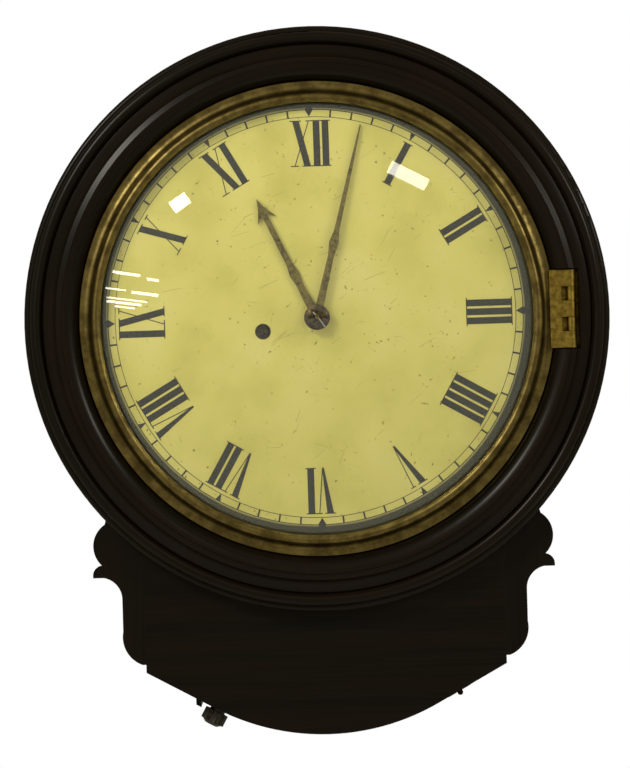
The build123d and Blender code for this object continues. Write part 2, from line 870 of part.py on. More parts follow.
def make_fusee():
    """The grooved cone that evens out the spring's pull, with its arbor and winding square."""
    back = great_wheel_front + joint_gap
    pitch = fusee_length / fusee_turns
    start = fusee_grooves_back
    section = [(0, back), (fusee_large_radius + 3, back), (fusee_large_radius + 3, start)]
    section.append((cone_radius(start), start))
    for n in range(fusee_turns):
        share = n / (fusee_turns - 1)
        radius = fusee_large_radius + share * (fusee_small_radius - fusee_large_radius)
        depth = start + n * pitch
        section.append((radius - 1.2, depth + pitch / 2))
        section.append((radius, depth + pitch))
    front = section[-1][1]
    section += [(fusee_small_radius + 3, front), (fusee_small_radius + 3, front + 1.2), (0, front + 1.2), (0, back)]
    cone = turned(Polyline(*section))
    bar = disc(fusee_arbor_radius, back_plate_depth, movement_front + 3)
    square = slab(Rectangle(winding_square, winding_square), movement_front + 3, winding_square_end)
    return Pos(winding_x, 0, winding_z) * (cone + bar + square)


winding_square_end = dial_centre - 5
fusee_grooves_back = great_wheel_front + joint_gap + 1.5


def make_barrel():
    """The closed spring drum, with a rim at each end that keeps the gut on."""
    front = barrel_back + barrel_length
    drum = tube(barrel_radius, barrel_arbor_radius + running_gap, barrel_back, front)
    rims = [
        tube(barrel_radius + 2.2, barrel_radius - 2, back, back + barrel_rim)
        for back in (barrel_back, front - barrel_rim)
    ]
    return Pos(barrel_x, 0, barrel_z) * (drum + rims)


barrel_arbor_radius = 3
barrel_back = plate_inside - 8 - barrel_length
ratchet_teeth = 16
ratchet_radius = 11


def ratchet_outline():
    """The set-up ratchet's saw teeth."""
    points = []
    for n in range(ratchet_teeth):
        for radius, share in ((ratchet_radius - 1.6, 0.0), (ratchet_radius, 0.95)):
            angle = 2 * pi * (n + share) / ratchet_teeth
            points.append((radius * cos(angle), radius * sin(angle)))
    return flat(points)


def make_barrel_arbor():
    """The barrel's arbor, held from turning by its set-up ratchet and click behind the back plate."""
    bar = disc(barrel_arbor_radius, back_plate_depth - 6, movement_front)
    ratchet = slab(ratchet_outline(), back_plate_depth - 2.3, back_plate_depth - 0.3)
    arbor_piece = Pos(barrel_x, 0, barrel_z) * (bar + ratchet)
    click_x = barrel_x + ratchet_radius + 2.4
    click = slab(Rectangle(3.2, 16), back_plate_depth - 2.3, back_plate_depth)
    return group([arbor_piece, Pos(click_x, 0, barrel_z - 4) * click])


def cone_radius(depth):
    """Radius of the fusee's groove crests at a depth."""
    pitch = fusee_length / fusee_turns
    share = (depth - fusee_grooves_back - pitch) / (fusee_length - pitch)
    return fusee_large_radius + share * (fusee_small_radius - fusee_large_radius)


def make_gut_line():
    """The gut between the barrel and the fusee: the turns on each as one sleeve, and the straight run."""
    on_barrel = barrel_radius + seat_gap
    depth = barrel_back + barrel_length / 2
    drum = tube(on_barrel + 2 * gut_radius, on_barrel, depth - 8, depth + gut_radius, barrel_x, barrel_z)
    back = fusee_grooves_back + seat_gap
    front = depth + gut_radius
    inner_back = cone_radius(back) + seat_gap
    inner_front = cone_radius(front) + seat_gap
    wound = turned(
        Polyline(
            (inner_back, back), (inner_back + 2 * gut_radius, back), (inner_front + 2 * gut_radius, front),
            (inner_front, front), (inner_back, back),
        )
    )
    wound = Pos(winding_x, 0, winding_z) * wound
    fusee_line = cone_radius(depth - gut_radius) + seat_gap + gut_radius
    barrel_line = on_barrel + gut_radius
    apart = hypot(barrel_x - winding_x, barrel_z - winding_z)
    bearing = degrees(asin((barrel_z - winding_z) / apart))
    touch = radians(bearing + degrees(acos((fusee_line - barrel_line) / apart)))
    start = (winding_x + fusee_line * cos(touch), winding_z + fusee_line * sin(touch))
    end = (barrel_x + barrel_line * cos(touch), barrel_z + barrel_line * sin(touch))
    length = hypot(end[0] - start[0], end[1] - start[1])
    lean = degrees(asin((end[1] - start[1]) / length))
    run = Pos((start[0] + end[0]) / 2, -depth, (start[1] + end[1]) / 2) * Rot(0, 90 - lean, 0)
    return group([drum + wound + run * Cylinder(gut_radius, length)])


def make_third_wheel():
    """Third wheel and pinion."""
    wheel = spoked(
        wheel_outline(third_teeth, third_module, third_wheel_phase),
        third_teeth * third_module / 2, 4, third_wheel_back, third_wheel_back + wheel_thickness,
    )
    pinion = slab(
        pinion_outline(third_leaves, centre_module, third_pinion_phase), centre_wheel_back - 1.5, centre_wheel_back + 3,
    )
    return Pos(third_x, 0, third_z) * (wheel + pinion + arbor(0, 0))


def make_escape_wheel():
    """Escape wheel with its pointed, undercut teeth, and its pinion."""
    pitch = 360 / escape_teeth
    points = []
    for n in range(escape_teeth):
        for radius, share in ((escape_radius - 3.2, 0.6), (escape_radius - 0.3, 0.14), (escape_radius, 0.0),
                              (escape_radius - 3.2, 0.05)):
            angle = radians((n - share) * pitch)
            points.append((radius * cos(angle), radius * sin(angle)))
    outline = flat(points)
    wheel = spoked(outline, escape_radius - 3.2, 3.6, escape_wheel_back, escape_wheel_back + 1.2, 4, 1.8, 2)
    pinion = slab(
        pinion_outline(escape_leaves, third_module, escape_pinion_phase), third_wheel_back - 1.5, third_wheel_back + 3,
    )
    return Pos(escape_x, 0, escape_z) * (wheel + pinion + arbor(0, 0))


def make_pallets():
    """The anchor and its arbor: two nibs that straddle the escape wheel."""
    back = escape_wheel_back - 0.8
    front = escape_wheel_back + 2.2
    clear = escape_radius + 1.05
    reach = clear / sqrt(2)
    nib = 3.4 / sqrt(2)
    arms = []
    for side in (-1, 1):
        inner = (side * reach, escape_z + reach)
        outer = (side * (reach + nib + 1.2), escape_z + reach - 0.6)
        top = (side * (reach + 1.0), swing_z - 3.2)
        arms.append(flat([inner, outer, top, (0, swing_z + 3.4), (0, swing_z - 2.2)]))
    anchor = slab(arms[0] + arms[1] + Pos(0, swing_z) * Circle(3.6), back, front)
    rear = cock_depth - 2.5
    return anchor + disc(arbor_radius, rear, movement_front, 0, swing_z)


cock_depth = 35.5
crutch_back = cock_depth + 2
crutch_end_z = -6


def make_crutch():
    """The crutch: an arm down from the pallet arbor, ending in a fork round the pendulum rod."""
    width = 4
    hub = tube(4, arbor_radius, crutch_back, crutch_back + 2.4, 0, swing_z)
    arm = block(-width / 2, width / 2, crutch_back, crutch_back + 1.6, crutch_end_z, swing_z - 3)
    foot_z = crutch_end_z + 3
    inner = rod_radius + joint_gap
    prongs = [
        block(min(side * inner, side * (inner + 1.6)), max(side * inner, side * (inner + 1.6)),
              pendulum_depth - 3, crutch_back + 1.6, crutch_end_z, foot_z)
        for side in (-1, 1)
    ]
    bridge = block(-inner - 1.6, inner + 1.6, crutch_back, crutch_back + 1.6, crutch_end_z, foot_z)
    return hub + arm + prongs + bridge


def make_back_cock():
    """The cock behind the back plate: the pallet arbor's pivot, and the ledge the pendulum hangs from."""
    ledge_z = swing_z + 3.2
    plate = slab(
        Pos(0, swing_z + 0.5) * Rectangle(48, 15) - Pos(0, swing_z) * Circle(arbor_radius + running_gap),
        cock_depth - 2.5, cock_depth,
    )
    feet = [
        block(side * 19 - 5, side * 19 + 5, cock_depth, back_plate_depth, swing_z - 7, swing_z + 8)
        for side in (-1, 1)
    ]
    shelf = block(-8, 8, pendulum_depth - 6, cock_depth - 2.5, ledge_z, ledge_z + 3.2)
    slot = block(-0.8, 0.8, pendulum_depth - 8, pendulum_depth + 4.6, ledge_z - 1, ledge_z + 5)
    return plate + feet + shelf - slot


def make_suspension_spring():
    """The pendulum's flat spring, with a brass chop at each end."""
    shelf_top = swing_z + 6.4
    strip_piece = block(-0.12, 0.12, pendulum_depth - 3.5, pendulum_depth + 3.5, swing_z - 8, shelf_top + 2)
    top = block(-3.4, 3.4, pendulum_depth - 3.5, pendulum_depth + 3.5, shelf_top + 0.4, shelf_top + 5)
    low = block(-2.6, 2.6, pendulum_depth - 3.5, pendulum_depth + 3.5, swing_z - 12, swing_z - 7)
    return strip_piece + top + low


def make_pendulum_rod():
    """The steel rod above the bob, and its threaded end below."""
    spans = ((bob_z + bob_radius, swing_z - 12), (rod_bottom, bob_z - bob_radius))
    return group([Pos(0, -pendulum_depth, (z0 + z1) / 2) * Cylinder(rod_radius, z1 - z0) for z0, z1 in spans])


def make_pendulum_bob():
    """The lenticular brass-faced bob."""
    half = bob_thickness / 2
    edge = 1.5
    rise = half - edge
    ball = (bob_radius**2 + rise**2) / (2 * rise)
    middle = bob_radius / 2
    middle_height = dome_depth(middle, ball, half)
    lens = bounded(
        ThreePointArc((0, half), (middle, middle_height), (bob_radius, edge)),
        Line((bob_radius, edge), (bob_radius, -edge)),
        ThreePointArc((bob_radius, -edge), (middle, -middle_height), (0, -half)),
        Line((0, -half), (0, half)),
    )
    return Pos(0, -pendulum_depth, bob_z) * revolve(TURNING * lens, Axis.Y)


def make_rating_nut():
    """The round milled nut under the bob."""
    top = bob_z - bob_radius - joint_gap
    outline = star(nut_radius, nut_radius - 0.7, nut_notches) - Circle(rod_radius + running_gap)
    return Pos(0, -pendulum_depth, top - 5) * extrude(outline, amount=5)


# Movement plates


def pillar_places():
    """The four pillars that hold the plates apart."""
    return [(x, z) for x in (-pillar_x, pillar_x) for z in (pillar_bottom_z, pillar_top_z)]


def plate_blank(back):
    """A movement plate with the pivot holes that both plates have."""
    height = plate_top - plate_bottom
    outline = Pos(0, (plate_top + plate_bottom) / 2) * RectangleRounded(2 * plate_half_width, height, 3)
    outline -= [Pos(x, z) * Circle(arbor_radius + running_gap)
                for x, z in ((third_x, third_z), (escape_x, escape_z))]
    outline -= Pos(barrel_x, barrel_z) * Circle(barrel_arbor_radius + running_gap)
    outline -= Pos(0, 0) * Circle(centre_arbor_radius + running_gap)
    outline -= Pos(winding_x, winding_z) * Circle(fusee_arbor_radius + running_gap)
    return slab(outline, back, back + plate_thickness)


def make_front_plate():
    """The front plate, bored for the centre arbor, the winding arbor, the pallets and the dial feet."""
    back = front_plate_depth
    return plate_blank(back) - disc(arbor_radius + running_gap, back - 1, back + 5, 0, swing_z)


def make_back_plate():
    """The back plate, with a wide hole that the pallet arbor passes through to its cock."""
    back = back_plate_depth
    return plate_blank(back) - disc(5, back - 1, back + 5, 0, swing_z)


def make_pillars():
    """Four pillars between the plates."""
    back = back_plate_depth + plate_thickness
    return group([disc(pillar_radius, back, front_plate_depth, x, z) for x, z in pillar_places()])


# Motion work and hands
cannon_back = movement_front + 1.5
cannon_front = cannon_back + wheel_thickness
bridge_back = cannon_front + 0.8
bridge_front = bridge_back + 1.2
hour_wheel_back = bridge_front + 0.4
hour_wheel_front = hour_wheel_back + wheel_thickness
cannon_pipe_radius = 2.5
bridge_pipe_inner = cannon_pipe_radius + running_gap + 0.1
bridge_pipe_outer = bridge_pipe_inner + 0.7
hour_pipe_inner = bridge_pipe_outer + running_gap
hour_pipe_outer = hour_pipe_inner + 0.8
hour_hand_back = dial_centre + 1.4
minute_hand_back = hour_hand_back + 3.2
cannon_pipe_end = minute_hand_back + hand_thickness + 0.4
hand_pin_depth = cannon_pipe_end + 3.2
minute_ball_radius = 900
hand_pin_angle = 52         # below the horizontal, to the right


def make_cannon_pinion():
    """The cannon wheel and its pipe, which carries the minute hand."""
    outline = wheel_outline(cannon_teeth, cannon_module, cannon_phase)
    pipe = tube(cannon_pipe_radius, centre_arbor_radius, cannon_back - 1.2, cannon_pipe_end)
    return slab(outline - Circle(centre_arbor_radius), cannon_back, cannon_front) + pipe


def make_minute_wheel():
    """The minute wheel and its pinion, which turn the hour wheel, on a stud in the front plate."""
    outline = wheel_outline(minute_teeth, cannon_module, minute_wheel_phase)
    wheel = slab(outline, cannon_back, cannon_front)
    pinion = slab(pinion_outline(minute_leaves, hour_module, minute_pinion_phase), cannon_front, hour_wheel_front + 0.6)
    bore = disc(stud_radius + running_gap, cannon_back - 1, hour_wheel_front + 2)
    return Pos(minute_x, 0, minute_z) * (wheel + pinion - bore)


stud_radius = 1.2


def make_hour_wheel():
    """The hour wheel and its pipe, which carries the hour hand."""
    outline = wheel_outline(hour_teeth, hour_module, hour_phase)
    wheel = slab(outline, hour_wheel_back, hour_wheel_front)
    pipe = disc(hour_pipe_outer, hour_wheel_back, hour_hand_back + hand_thickness)
    return wheel + pipe - disc(hour_pipe_inner, hour_wheel_back - 1, hour_hand_back + 5)


def make_hour_bridge():
    """The bridge over the cannon wheel, whose pipe carries the hour wheel, and the minute wheel's stud."""
    reach = 24
    foot = 4
    arm = slab(Rectangle(2 * (reach + foot), 8) - Circle(bridge_pipe_inner), bridge_back, bridge_front)
    feet = [block(x - foot, x + foot, movement_front, bridge_back, -4, 4) for x in (-reach, reach)]
    pipe = tube(bridge_pipe_outer, bridge_pipe_inner, bridge_front, hour_hand_back - 2.5)
    stud = disc(stud_radius, movement_front, hour_wheel_front + 1.4, minute_x, minute_z)
    return group([Rot(0, -45, 0) * (arm + feet + pipe), stud])


def domed_hand(outline, ball, back):
    """A flat hand bent to follow the dial: the outline cut from a thin shell."""
    reach = 150
    shell = turned(
        ThreePointArc((0, back), (reach / 2, dome_depth(reach / 2, ball, back)), (reach, dome_depth(reach, ball, back))),
        Line((reach, dome_depth(reach, ball, back)), (reach, dome_depth(reach, ball, back) + hand_thickness)),
        ThreePointArc(
            (reach, dome_depth(reach, ball, back) + hand_thickness),
            (reach / 2, dome_depth(reach / 2, ball, back) + hand_thickness),
            (0, back + hand_thickness),
        ),
        Line((0, back + hand_thickness), (0, back)),
    )
    return shell & slab(outline, back - 25, back + 5)


def symmetric(*half):
    """A closed outline about the local Y axis from its right half, listed from the tip down."""
    return flat([*half, *[(-x, y) for x, y in reversed(half) if x > 0]])


def make_hour_hand():
    """The hour hand: a barbed arrow head on a tapering shaft with a diamond swelling."""
    length = hour_hand_length
    blade = symmetric(
        (0, length), (2.2, length - 7), (7.2, length - 17), (1.9, length - 12.5), (2.2, 42), (3.6, 34),
        (2.4, 26), (3.2, 6), (3.2, 0),
    )
    outline = Rot(0, 0, -hour_hand_deg) * (blade + Circle(7.5)) - Circle(hour_pipe_outer)
    return domed_hand(outline, dial_ball_radius, hour_hand_back)


def make_minute_hand():
    """The minute hand: long and slender, with a diamond swelling."""
    length = minute_hand_length
    blade = symmetric(
        (0.5, length), (1.3, length * 0.75), (1.8, 62), (3.4, 54), (2.1, 44), (2.8, 6), (2.8, 0),
    )
    outline = Rot(0, 0, -minute_hand_deg) * (blade + Circle(6)) - Circle(cannon_pipe_radius)
    return domed_hand(outline, minute_ball_radius, minute_hand_back)


def make_collet():
    """The domed brass collet that the hand pin bears on."""
    back = cannon_pipe_end + seat_gap
    return turned(
        Line((centre_arbor_radius + running_gap, back), (collet_radius, back)),
        Line((collet_radius, back), (collet_radius, back + 0.6)),
        ThreePointArc((collet_radius, back + 0.6), (collet_radius * 0.6, back + 2.0), (centre_arbor_radius + 1.2, back + 2.4)),
        Polyline(
            (centre_arbor_radius + 1.2, back + 2.4), (centre_arbor_radius + running_gap, back + 2.4),
            (centre_arbor_radius + running_gap, back),
        ),
    )


def make_hand_pin():
    """The taper pin through the centre arbor."""
    pin = Rot(0, 90, 0) * Cylinder(hand_pin_radius, 14)
    return Rot(0, hand_pin_angle, 0) * (Pos(2.5, -hand_pin_depth, 0) * pin)


right_cheek = make_cheek()
ear = make_ear()
nodes = {
    "backboard": make_backboard(),
    "cheek_left": mirror(right_cheek, Plane.YZ),
    "cheek_right": right_cheek - make_side_door_opening() - make_button_hole(),
    "case_top": make_case_top(),
    "front_board": make_front_board(),
    "ear_left": mirror(ear, Plane.YZ),
    "ear_right": ear,
    "bottom_slats": make_bottom_slats(),
    "wood_blocks": make_wood_blocks(),
    "hanging_plate": make_hanging_plate(),
    "dial_surround": make_surround(),
    "side_door": make_side_door(),
    "side_hinges_fixed": fixed_hinges(side_hinge_planes(), side_hinge_length),
    "side_hinges_moving": moving_hinges(side_hinge_planes(), side_hinge_length),
    "side_door_button": make_side_door_button(),
    "bottom_door": make_bottom_door(),
    "bottom_hinges_fixed": fixed_hinges(bottom_hinge_planes(), bottom_hinge_length),
    "bottom_hinges_moving": moving_hinges(bottom_hinge_planes(), bottom_hinge_length),
    "bottom_door_knob": make_knob(),
    "bottom_door_latch": make_latch(),
    "bezel": make_bezel(),
    "bezel_glass": make_glass(),
    "glass_putty": make_putty(),
    "bezel_hinge_leaf": make_bezel_hinge_leaf(),
    "case_hinge_leaf": make_case_hinge_leaf(),
    "dial_plate": make_dial(),
    "dial_feet": make_dial_feet(),
    "front_plate": make_front_plate(),
    "back_plate": make_back_plate(),
    "plate_pillars": make_pillars(),
    "centre_wheel": make_centre_wheel(),
    "third_wheel": make_third_wheel(),
    "escape_wheel": make_escape_wheel(),
    "pallets": make_pallets(),
    "crutch": make_crutch(),
    "back_cock": make_back_cock(),
    "great_wheel": make_great_wheel(),
    "fusee": make_fusee(),
    "barrel": make_barrel(),
    "barrel_arbor": make_barrel_arbor(),
    "gut_line": make_gut_line(),
    "cannon_pinion": make_cannon_pinion(),
    "minute_wheel": make_minute_wheel(),
    "hour_wheel": make_hour_wheel(),
    "hour_bridge": make_hour_bridge(),
    "hour_hand": make_hour_hand(),
    "minute_hand": make_minute_hand(),
    "hand_collet": make_collet(),
    "hand_pin": make_hand_pin(),
    "suspension_spring": make_suspension_spring(),
    "pendulum_rod": make_pendulum_rod(),
    "pendulum_bob": make_pendulum_bob(),
    "rating_nut": make_rating_nut(),
}

os.makedirs("parts", exist_ok=True)
for name, shape in nodes.items():
    export_step(shape, f"parts/{name}.step")
print(len(nodes), "nodes written")
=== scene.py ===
# %% [markdown]
# # A drop dial wall clock
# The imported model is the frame: every wooden board, brass ring and wheel is already there, in metres, with the
# dial facing -Y, Z up, and the wall at y = 0. This lesson gives each piece the finish of the real one, paints
# the numerals and the minute ring on the dial, and lights the clock in front of a white ground.

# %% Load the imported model
import bpy
import random
from math import cos, hypot, pi, radians, sin, sqrt
from mathutils import Matrix, Vector


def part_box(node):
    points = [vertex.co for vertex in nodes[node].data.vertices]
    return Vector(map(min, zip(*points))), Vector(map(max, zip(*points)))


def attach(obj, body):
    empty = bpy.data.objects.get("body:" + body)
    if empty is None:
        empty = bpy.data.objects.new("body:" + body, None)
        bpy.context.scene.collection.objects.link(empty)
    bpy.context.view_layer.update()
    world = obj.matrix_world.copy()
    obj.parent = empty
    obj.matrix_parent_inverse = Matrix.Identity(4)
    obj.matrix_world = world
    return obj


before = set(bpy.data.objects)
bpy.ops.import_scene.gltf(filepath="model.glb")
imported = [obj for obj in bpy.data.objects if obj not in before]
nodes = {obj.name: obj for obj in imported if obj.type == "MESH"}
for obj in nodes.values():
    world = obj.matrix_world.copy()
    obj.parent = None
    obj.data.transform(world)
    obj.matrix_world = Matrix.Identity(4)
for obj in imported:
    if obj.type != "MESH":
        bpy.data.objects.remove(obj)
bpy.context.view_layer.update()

# %% [markdown]
# Colours are written as sRGB hex, the way a colour picker gives them. Shaders work with linear light, so one
# function turns the one into the other. A second small function adds a shader node with its settings, the
# values of its sockets and its links, so that a material reads as a list of steps.

# %% Colours and shader nodes
def linear(colour):
    """An sRGB hex colour as linear RGBA."""
    parts = [int(colour[i:i + 2], 16) / 255 for i in (1, 3, 5)]
    return [c / 12.92 if c <= 0.04045 else ((c + 0.055) / 1.055) ** 2.4 for c in parts] + [1.0]


def add(tree, kind, settings=None, values=None, links=None):
    """Add a node; values and links are given by the socket's name or number."""
    node = tree.nodes.new(kind)
    for name, value in (settings or {}).items():
        setattr(node, name, value)
    for name, value in (values or {}).items():
        node.inputs[name].default_value = value
    for name, socket in (links or {}).items():
        tree.links.new(socket, node.inputs[name])
    return node


def new_material(name, **values):
    """A material with one Principled shader, and its node tree."""
    material = bpy.data.materials.new(name)
    material.use_nodes = True
    shader = material.node_tree.nodes["Principled BSDF"]
    for key, value in values.items():
        shader.inputs[key.replace("_", " ")].default_value = value
    return material, material.node_tree, shader


def plain(name, colour, **values):
    """A material of one even colour."""
    material, _, shader = new_material(name, **values)
    shader.inputs["Base Color"].default_value = linear(colour)
    return material


def ramp(tree, factor, stops):
    """A colour ramp from a list of (place, hex colour)."""
    node = add(tree, "ShaderNodeValToRGB", links={"Fac": factor})
    elements = node.color_ramp.elements
    while len(elements) < len(stops):
        elements.new(0.5)
    for element, (place, colour) in zip(elements, stops):
        element.position = place
        element.color = linear(colour)
    return node.outputs["Color"]


def finish(names, material):
    """Give a material to CAD nodes."""
    for name in names:
        nodes[name].data.materials.clear()
        nodes[name].data.materials.append(material)


print("shader helpers ready")

# %% [markdown]
# The case is mahogany, French polished almost black over a century and a half. The figure is what the eye
# reads: dark pores drawn out along the grain, over a millimetre apart, with slow red-brown bands between
# them. One noise texture, stretched 50 to 1 along the grain, gives the pores, and a slower one the bands. On
# the turned surround the grain follows the ring, so there the pattern is stretched by feeding the noise with
# the radius instead of a board's width.

# %% Polished mahogany
# pores in a metre of board, along the grain and across it, and how much slower the bands are
PORES_ALONG = 14
PORES_ACROSS = 700
BAND_SLOWNESS = 12


def mahogany(name, along, dark="#120f09", light="#211910"):
    """Polished mahogany with its grain along X, Y or Z, or round the ring."""
    material, tree, shader = new_material(name, Roughness=0.28, IOR=1.45, Specular_IOR_Level=0.22)
    place = add(tree, "ShaderNodeTexCoord").outputs["Object"]
    if along == "ring":
        parts = add(tree, "ShaderNodeSeparateXYZ", links={"Vector": place})
        flat = add(tree, "ShaderNodeCombineXYZ", links={"X": parts.outputs["X"], "Y": parts.outputs["Z"]})
        radius = add(tree, "ShaderNodeVectorMath", {"operation": "LENGTH"}, links={0: flat.outputs["Vector"]})
        across = add(
            tree, "ShaderNodeMath", {"operation": "SUBTRACT"},
            links={0: radius.outputs["Value"], 1: parts.outputs["Y"]},
        )
        place = add(
            tree, "ShaderNodeCombineXYZ",
            links={"X": parts.outputs["X"], "Y": across.outputs["Value"], "Z": parts.outputs["Z"]},
        ).outputs["Vector"]
        stretch = (PORES_ALONG, PORES_ACROSS, PORES_ALONG)
    else:
        stretch = [PORES_ALONG if axis == along else PORES_ACROSS for axis in "XYZ"]
    mapped = add(tree, "ShaderNodeMapping", values={"Scale": stretch}, links={"Vector": place})
    pores = add(tree, "ShaderNodeTexNoise", values={"Scale": 1.0, "Detail": 3.0},
                links={"Vector": mapped.outputs["Vector"]})
    slow = add(tree, "ShaderNodeMapping", values={"Scale": [s / BAND_SLOWNESS for s in stretch]},
               links={"Vector": place})
    bands = add(tree, "ShaderNodeTexNoise", values={"Scale": 1.0, "Detail": 2.0},
                links={"Vector": slow.outputs["Vector"]})
    pore_colour = ramp(tree, pores.outputs["Fac"], [(0.38, dark), (0.62, light)])
    band_colour = ramp(tree, bands.outputs["Fac"], [(0.35, dark), (0.7, "#26170e")])
    wood = add(tree, "ShaderNodeMix", {"data_type": "RGBA"}, {"Factor": 0.45},
               {"A": pore_colour, "B": band_colour})
    tree.links.new(wood.outputs["Result"], shader.inputs["Base Color"])
    # the polish has sunk a little into the pores
    bump = add(tree, "ShaderNodeBump", values={"Strength": 0.12, "Distance": 0.0002},
               links={"Height": pores.outputs["Fac"]})
    tree.links.new(bump.outputs["Normal"], shader.inputs["Normal"])
    return material


ring_wood = mahogany("mahogany turned and polished", "ring")
wide_wood = mahogany("mahogany board polished", "X", "#0f0d09", "#1a150e")
tall_wood = mahogany("mahogany upright polished", "Z", "#0f0d09", "#1a150e")
finish(["dial_surround"], ring_wood)
finish(["front_board", "case_top", "bottom_door", "bottom_slats"], wide_wood)
finish(["cheek_left", "cheek_right", "ear_left", "ear_right", "side_door", "side_door_button"], tall_wood)
print("mahogany on 11 pieces")

# %% [markdown]
# The backboard, the lugs and the glue blocks are plain softwood, never polished and only seen from behind or
# through the doors. It is paler, dull, and its growth rings make wide soft stripes about 4 mm apart.

# %% Softwood at the back
def softwood():
    """Unpolished pine with its growth rings along Z."""
    material, tree, shader = new_material("pine oxidised", Roughness=0.75, Specular_IOR_Level=0.25)
    place = add(tree, "ShaderNodeTexCoord").outputs["Object"]
    mapped = add(tree, "ShaderNodeMapping", values={"Scale": (250, 250, 5)}, links={"Vector": place})
    rings = add(tree, "ShaderNodeTexNoise", values={"Scale": 1.0, "Detail": 2.0},
                links={"Vector": mapped.outputs["Vector"]})
    colour = ramp(tree, rings.outputs["Fac"], [(0.3, "#4a3320"), (0.7, "#7a5a38")])
    tree.links.new(colour, shader.inputs["Base Color"])
    return material


finish(["backboard", "wood_blocks"], softwood())
print("softwood on 2 pieces")

# %% [markdown]
# Brass appears in six states: the bezel is spun and tarnished to olive brown, its hinge is bright where
# fingers rub it, the collet is browned, the hands are dull with brown patches, the movement is clean clock
# brass, and the small fittings of the case are blackened. A metal's colour is its reflection, so tarnish is a
# darker, greener base with more roughness, mixed in patches. Hollows are darker still, with painted shade
# and grime.

# %% Brass in its six states
def brass(name, bright, tarnish, patch_mm, roughness, share=(0.4, 0.65), rings=False, shade_reach_mm=2.5):
    """Brass with tarnish in patches of about the given size, and painted shade with grime in recesses up to the
    given reach.
    """
    material, tree, shader = new_material(name, Metallic=1.0, Roughness=roughness)
    place = add(tree, "ShaderNodeTexCoord").outputs["Object"]
    patches = add(
        tree, "ShaderNodeTexNoise",
        values={"Scale": 1000 / patch_mm, "Detail": 5.0, "Roughness": 0.65}, links={"Vector": place},
    )
    colour = ramp(tree, patches.outputs["Fac"], [(share[0], tarnish), (share[1], bright)])
    # painted shade and grime: ambient occlusion darkens the colour in slots, grooves and joints
    occlusion_shade = add(tree, "ShaderNodeAmbientOcclusion", {"samples": 8}, {"Distance": shade_reach_mm / 1000})
    dirt_and_shade = ramp(tree, occlusion_shade.outputs["AO"], [(0.35, "#1c1810"), (0.75, "#ffffff")])
    darkened = add(tree, "ShaderNodeMix", {"data_type": "RGBA", "blend_type": "MULTIPLY"}, {"Factor": 1.0},
                 {"A": colour, "B": dirt_and_shade})
    tree.links.new(darkened.outputs["Result"], shader.inputs["Base Color"])
    rough = add(tree, "ShaderNodeMapRange", values={"To Min": roughness + 0.15, "To Max": roughness - 0.05},
                links={"Value": patches.outputs["Fac"]})
    tree.links.new(rough.outputs["Result"], shader.inputs["Roughness"])
    if rings:
        # turning marks run round the ring, under a millimetre apart
        parts = add(tree, "ShaderNodeSeparateXYZ", links={"Vector": place})
        flat = add(tree, "ShaderNodeCombineXYZ", links={"X": parts.outputs["X"], "Y": parts.outputs["Z"]})
        radius = add(tree, "ShaderNodeVectorMath", {"operation": "LENGTH"}, links={0: flat.outputs["Vector"]})
        marks = add(tree, "ShaderNodeTexNoise", {"noise_dimensions": "1D"}, {"Scale": 1400.0, "Detail": 2.0},
                    {"W": radius.outputs["Value"]})
        bump = add(tree, "ShaderNodeBump", values={"Strength": 0.25, "Distance": 0.0001},
                   links={"Height": marks.outputs["Fac"]})
        tree.links.new(bump.outputs["Normal"], shader.inputs["Normal"])
    return material


finish(["bezel"], brass("spun brass tarnished", "#9c8a50", "#6b5c34", 11, 0.36, rings=True, shade_reach_mm=4))
finish(
    ["bezel_hinge_leaf", "case_hinge_leaf"],
    brass("rolled brass rubbed", "#cbae52", "#8f7836", 4, 0.36, shade_reach_mm=5),
)
finish(["hand_collet"], brass("turned brass browned", "#57472b", "#2a2015", 2.5, 0.42))
finish(
    ["hour_hand", "minute_hand"],
    brass("sheet brass dulled", "#746634", "#3d311a", 3, 0.45, (0.36, 0.56)),
)
clock_brass = brass("cast brass lacquered", "#8f7a45", "#5f4f2b", 12, 0.34)
finish(
    ["front_plate", "back_plate", "plate_pillars", "centre_wheel", "third_wheel", "escape_wheel", "great_wheel",
     "barrel", "cannon_pinion", "minute_wheel", "hour_wheel", "hour_bridge", "back_cock",
     "pendulum_bob", "rating_nut"],
    clock_brass,
)
finish(
    ["hanging_plate", "side_hinges_fixed", "side_hinges_moving", "bottom_hinges_fixed", "bottom_hinges_moving",
     "bottom_door_latch", "fusee"],
    brass("rolled brass blackened", "#5d4f2c", "#2b2416", 6, 0.45),
)
print("brass on 28 pieces")

# %% [markdown]
# Steel is used for arbors, pallets and the pendulum rod: drawn bars, polished by hand and a little browned.
# Gut is twisted animal fibre, amber and slightly shiny. The glass is held by a fillet of plaster.

# %% Steel, gut and plaster
steel = plain("drawn steel polished", "#8b8882", Metallic=1.0, Roughness=0.32)
gut = plain("twisted gut", "#8a6a34", Roughness=0.45)
plaster = plain("plaster of paris soiled", "#3d3725", Roughness=0.9)
finish(
    ["pallets", "crutch", "barrel_arbor", "suspension_spring", "pendulum_rod", "dial_feet", "hand_pin"], steel,
)
finish(["gut_line"], gut)
finish(["glass_putty"], plaster)
print("steel, gut and plaster done")

# %% [markdown]
# The knob under the case is taken for horn, turned and reeded, with patches of grime from use. Its dark colour
# is painted shade: the knob sits in the shadow under the case.

# %% Horn knob
def horn():
    """Horn made dark by painted shade, with patches of grime a few millimetres across."""
    material, tree, shader = new_material("horn turned", Roughness=0.4)
    place = add(tree, "ShaderNodeTexCoord").outputs["Object"]
    dirt_and_shade = add(tree, "ShaderNodeTexNoise", values={"Scale": 400.0, "Detail": 3.0}, links={"Vector": place})
    # painted shade: both colours are dark for the shadow under the case, with grime between them
    colour = ramp(tree, dirt_and_shade.outputs["Fac"], [(0.38, "#17130d"), (0.62, "#4d4433")])
    tree.links.new(colour, shader.inputs["Base Color"])
    return material


finish(["bottom_door_knob"], horn())
print("horn knob done")
